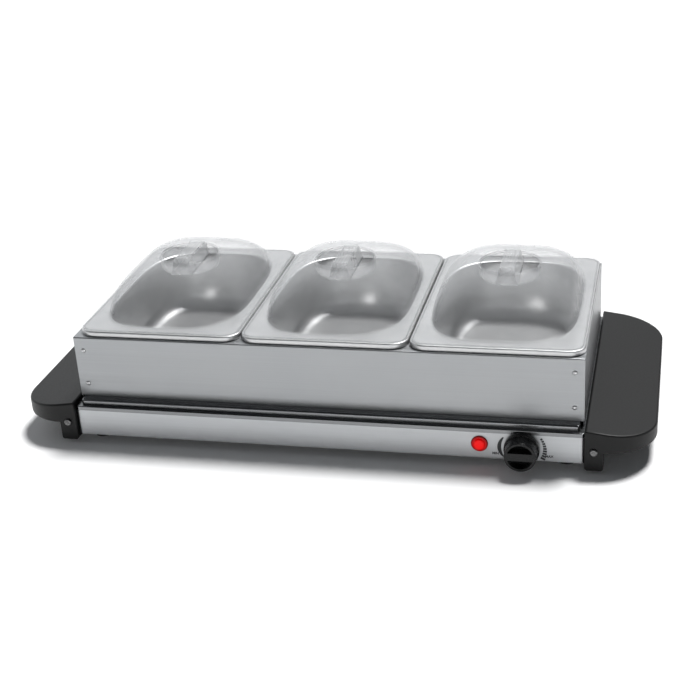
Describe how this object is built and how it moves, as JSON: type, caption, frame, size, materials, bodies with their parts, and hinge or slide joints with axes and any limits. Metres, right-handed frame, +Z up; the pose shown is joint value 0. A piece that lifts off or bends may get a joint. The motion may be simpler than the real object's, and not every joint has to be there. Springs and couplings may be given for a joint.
{
  "type": "electric buffet server",
  "caption": "Long electric warming base with end handles, control knob and lamp, and a lift-off frame holding removable pans under clear domed lids with recessed grips.",
  "frame": {"origin": "under the middle of the server's overall box, on the surface that the feet stand on", "axes": "+X to the right along the front, +Y towards the back, +Z up"},
  "size_m": [0.6028, 0.28, 0.1495],
  "materials": {
    "steel_panel": "horizontally brushed",
    "steel_plate": "satin",
    "steel_pan": "bright drawn",
    "zinc_steel": "zinc plated",
    "black_plastic": "fine matt grain",
    "knob_plastic": "gloss",
    "clear_plastic": "clear gloss",
    "lamp_plastic": "translucent gloss",
    "neon_glass": "clear",
    "foot_rubber": "matt",
    "element_steel": "heat darkened",
    "ceramic": "glazed ceramic",
    "white_plastic": "matt",
    "wire_cover": "silicone sleeve",
    "brass": "plated"
  },
  "bodies": {
    "warming_base": {"warming_plate": "steel_plate", "base_apron": "steel_panel", "bottom_plate": "zinc_steel", "rubber_feet": "foot_rubber", "foot_screws": "zinc_steel", "foot_nuts": "zinc_steel", "bottom_screws": "zinc_steel", "left_handle": "black_plastic", "right_handle": "black_plastic", "handle_brackets": "zinc_steel", "handle_screws": "zinc_steel", "reflector_tray": "zinc_steel", "heating_element": "element_steel", "element_straps": "zinc_steel", "element_beads": "ceramic", "element_pins": "zinc_steel", "thermostat": "white_plastic", "thermostat_nut": "brass", "indicator_lens": "lamp_plastic", "indicator_holder": "white_plastic", "indicator_neon": "neon_glass", "indicator_clip": "zinc_steel", "terminal_block": "white_plastic", "thermal_fuse": "zinc_steel", "cord_bushing": "black_plastic", "internal_wires": "wire_cover"},
    "knob": {"thermostat_shaft": "zinc_steel", "control_knob": "knob_plastic"},
    "buffet_frame": {"frame_front_panel": "steel_panel", "frame_back_panel": "steel_panel", "frame_left_panel": "steel_panel", "frame_right_panel": "steel_panel", "frame_divider_left": "steel_panel", "frame_divider_right": "steel_panel", "frame_rivets": "steel_pan"},
    "pan_left_body": {"pan_left": "steel_pan"},
    "pan_middle_body": {"pan_middle": "steel_pan"},
    "pan_right_body": {"pan_right": "steel_pan"},
    "lid_left_body": {"lid_left": "clear_plastic"},
    "lid_middle_body": {"lid_middle": "clear_plastic"},
    "lid_right_body": {"lid_right": "clear_plastic"}
  },
  "joints": [
    {"name": "knob_turn", "type": "hinge", "parent": "warming_base", "child": "knob", "pos_m": [0.185, -0.121, 0.0202], "axis": [0, 1, 0], "range_deg": [-15, 195]},
    {"name": "frame_lift", "type": "slide", "parent": "warming_base", "child": "buffet_frame", "axis": [0, 0, 1], "range_m": [0, 0.12]},
    {"name": "pan_left_lift", "type": "slide", "parent": "buffet_frame", "child": "pan_left_body", "axis": [0, 0, 1], "range_m": [0, 0.1]},
    {"name": "pan_middle_lift", "type": "slide", "parent": "buffet_frame", "child": "pan_middle_body", "axis": [0, 0, 1], "range_m": [0, 0.1]},
    {"name": "pan_right_lift", "type": "slide", "parent": "buffet_frame", "child": "pan_right_body", "axis": [0, 0, 1], "range_m": [0, 0.1]},
    {"name": "lid_left_lift", "type": "slide", "parent": "pan_left_body", "child": "lid_left_body", "axis": [0, 0, 1], "range_m": [0, 0.08]},
    {"name": "lid_middle_lift", "type": "slide", "parent": "pan_middle_body", "child": "lid_middle_body", "axis": [0, 0, 1], "range_m": [0, 0.08]},
    {"name": "lid_right_lift", "type": "slide", "parent": "pan_right_body", "child": "lid_right_body", "axis": [0, 0, 1], "range_m": [0, 0.08]}
  ]
}
